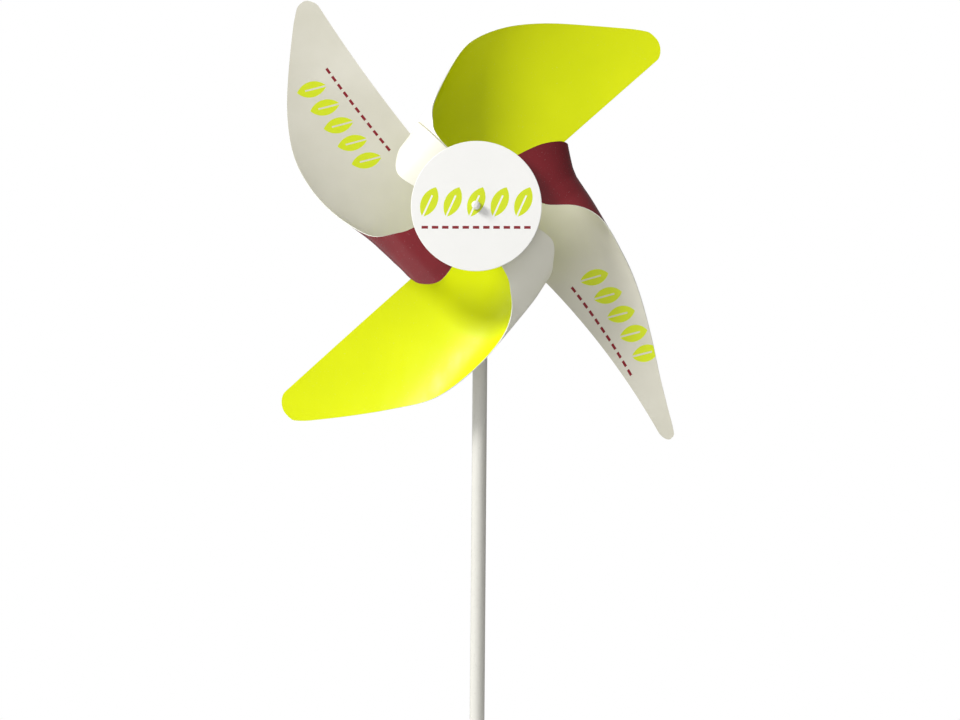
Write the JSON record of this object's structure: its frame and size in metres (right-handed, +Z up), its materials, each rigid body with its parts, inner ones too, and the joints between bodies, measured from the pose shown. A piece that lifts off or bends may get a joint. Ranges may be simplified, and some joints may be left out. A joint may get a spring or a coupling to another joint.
{
  "type": "pinwheel",
  "caption": "Pinwheel: a curled sheet-plastic wheel with a round cover disc, turning on a short axle at the top of a long thin stick.",
  "frame": {"origin": "centre of the flat foot of the stick", "axes": "+Z up along the stick, the wheel faces -Y and turns about an axis along Y, +X to the right seen from the front"},
  "size_m": [0.213, 0.0662, 0.5192],
  "materials": {
    "stick_plastic": "semi-gloss off-white",
    "plug_plastic": "matt off-white",
    "head_plastic": "matt off-white",
    "axle_plastic": "smooth",
    "washer_plastic": "smooth",
    "hub_plastic": "smooth",
    "cap_plastic": "smooth",
    "disc_plastic": "satin white",
    "lime_foil": "lime front, white back",
    "white_foil": "white front, burgundy back"
  },
  "bodies": {
    "stick": {"stick_tube": "stick_plastic", "stick_end_plug": "plug_plastic", "axle_head": "head_plastic", "axle_pin": "axle_plastic", "axle_lock_cap": "head_plastic", "rear_washer": "washer_plastic", "nose_cap": "cap_plastic"},
    "wheel": {"lime_sheet": "lime_foil", "white_sheet": "white_foil", "hub_tube": "hub_plastic", "rear_clamp_washer": "washer_plastic", "spacer_tube": "hub_plastic", "flap_washer": "washer_plastic", "front_disc": "disc_plastic"}
  },
  "joints": [
    {"name": "wheel_spin", "type": "hinge", "parent": "stick", "child": "wheel", "pos_m": [0, -0.03, 0.4], "axis": [0, 1, 0], "continuous": true}
  ]
}
